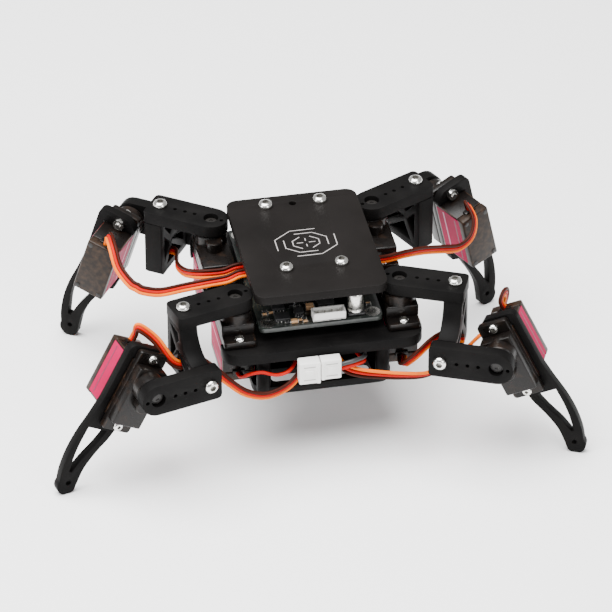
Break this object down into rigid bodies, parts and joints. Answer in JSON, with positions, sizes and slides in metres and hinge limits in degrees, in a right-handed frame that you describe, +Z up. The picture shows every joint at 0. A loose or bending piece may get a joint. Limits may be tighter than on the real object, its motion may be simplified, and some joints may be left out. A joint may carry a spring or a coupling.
{
  "type": "quadruped walking robot",
  "caption": "Black walking robot kit: a flat chassis with a top cover, and splayed legs, each driven by a hip servo and a knee servo.",
  "frame": {"origin": "on the floor, under the centre of the whole robot at rest", "axes": "+Z up, -Y towards the robot's front, +X towards the legs named right. The chassis stands about 3 degrees nose down."},
  "size_m": [0.1914, 0.1276, 0.0719],
  "materials": {
    "frame_plastic": "satin black moulded plastic",
    "servo_case": "smoky translucent brown plastic",
    "shaft_brass": "machined, satin",
    "steel": "bright plated steel",
    "connector_white": "satin white nylon",
    "board_black": "black solder mask",
    "dark_plastic": "matte black",
    "lead_orange": "flexible insulated wire",
    "servo_label": "printed pink film"
  },
  "bodies": {
    "chassis": {"main_frame": "frame_plastic", "battery_tray": "frame_plastic", "top_cover": "frame_plastic", "control_board": "board_black", "metal_can": "steel", "power_header": "connector_white", "controller_module": "board_black", "pin_strip_left": "dark_plastic", "pin_strip_right": "dark_plastic", "battery": "dark_plastic", "battery_plug": "connector_white", "battery_socket": "connector_white", "battery_lead": "lead_orange", "servo_lead_front_left": "lead_orange", "servo_lead_front_right": "lead_orange", "servo_lead_back_left": "lead_orange", "cover_post_front_left": "frame_plastic", "cover_post_front_right": "frame_plastic", "cover_post_back_left": "frame_plastic", "cover_post_back_right": "frame_plastic", "hip_servo_front_left": "servo_case", "hip_lead_front_left": "lead_orange", "hip_servo_front_right": "servo_case", "hip_lead_front_right": "lead_orange", "hip_servo_back_left": "servo_case", "hip_lead_back_left": "lead_orange", "hip_servo_back_right": "servo_case", "hip_lead_back_right": "lead_orange"},
    "link_front_left": {"hip_shaft_front_left": "shaft_brass", "hip_arm_front_left": "frame_plastic", "corner_web_front_left": "frame_plastic", "knee_arm_front_left": "frame_plastic", "knee_shaft_front_left": "shaft_brass", "knee_lead_front_left": "lead_orange"},
    "foot_front_left": {"knee_servo_front_left": "servo_case", "foot_plate_front_left": "frame_plastic"},
    "link_front_right": {"hip_shaft_front_right": "shaft_brass", "hip_arm_front_right": "frame_plastic", "corner_web_front_right": "frame_plastic", "knee_arm_front_right": "frame_plastic", "knee_shaft_front_right": "shaft_brass", "knee_lead_front_right": "lead_orange"},
    "foot_front_right": {"knee_servo_front_right": "servo_case", "foot_plate_front_right": "frame_plastic"},
    "link_back_left": {"hip_shaft_back_left": "shaft_brass", "hip_arm_back_left": "frame_plastic", "corner_web_back_left": "frame_plastic", "knee_arm_back_left": "frame_plastic", "knee_shaft_back_left": "shaft_brass", "knee_lead_back_left": "lead_orange"},
    "foot_back_left": {"knee_servo_back_left": "servo_case", "foot_plate_back_left": "frame_plastic"},
    "link_back_right": {"hip_shaft_back_right": "shaft_brass", "hip_arm_back_right": "frame_plastic", "corner_web_back_right": "frame_plastic", "knee_arm_back_right": "frame_plastic", "knee_shaft_back_right": "shaft_brass", "knee_lead_back_right": "lead_orange"},
    "foot_back_right": {"knee_servo_back_right": "servo_case", "foot_plate_back_right": "frame_plastic"}
  },
  "joints": [
    {"name": "hip_front_left", "type": "hinge", "parent": "chassis", "child": "link_front_left", "pos_m": [-0.0273, -0.02784, 0.06482], "axis": [-0.0103, -0.0518, 0.9986], "range_deg": [-24, 45], "deforming": ["hip_lead_front_left"]},
    {"name": "knee_front_left", "type": "hinge", "parent": "link_front_left", "child": "foot_front_left", "pos_m": [-0.06488, -0.03676, 0.04344], "axis": [-0.2559, 0.9655, 0.0475], "range_deg": [-50, 55], "deforming": ["knee_lead_front_left"]},
    {"name": "hip_front_right", "type": "hinge", "parent": "chassis", "child": "link_front_right", "pos_m": [0.0317, -0.02784, 0.06543], "axis": [0.0103, 0.0518, -0.9986], "range_deg": [-33, 36], "deforming": ["hip_lead_front_right", "servo_lead_front_right"]},
    {"name": "knee_front_right", "type": "hinge", "parent": "link_front_right", "child": "foot_front_right", "pos_m": [0.06769, -0.04254, 0.04451], "axis": [-0.403, -0.9137, -0.0516], "range_deg": [-50, 55], "deforming": ["knee_lead_front_right"]},
    {"name": "hip_back_left", "type": "hinge", "parent": "chassis", "child": "link_back_left", "pos_m": [-0.02732, 0.02039, 0.06732], "axis": [0.0103, 0.0518, -0.9986], "range_deg": [-44, 25], "deforming": ["hip_lead_back_left", "servo_lead_back_left"]},
    {"name": "knee_back_left", "type": "hinge", "parent": "link_back_left", "child": "foot_back_left", "pos_m": [-0.0595, 0.04335, 0.04765], "axis": [0.5602, 0.8269, 0.0487], "range_deg": [-50, 55], "deforming": ["knee_lead_back_left"]},
    {"name": "hip_back_right", "type": "hinge", "parent": "chassis", "child": "link_back_right", "pos_m": [0.03167, 0.02039, 0.06793], "axis": [-0.0103, -0.0518, 0.9986], "range_deg": [-35, 34], "deforming": ["hip_lead_back_right"]},
    {"name": "knee_back_right", "type": "hinge", "parent": "link_back_right", "child": "foot_back_right", "pos_m": [0.06713, 0.03833, 0.0487], "axis": [0.4325, -0.9006, -0.0423], "range_deg": [-50, 55], "deforming": ["knee_lead_back_right"]}
  ]
}
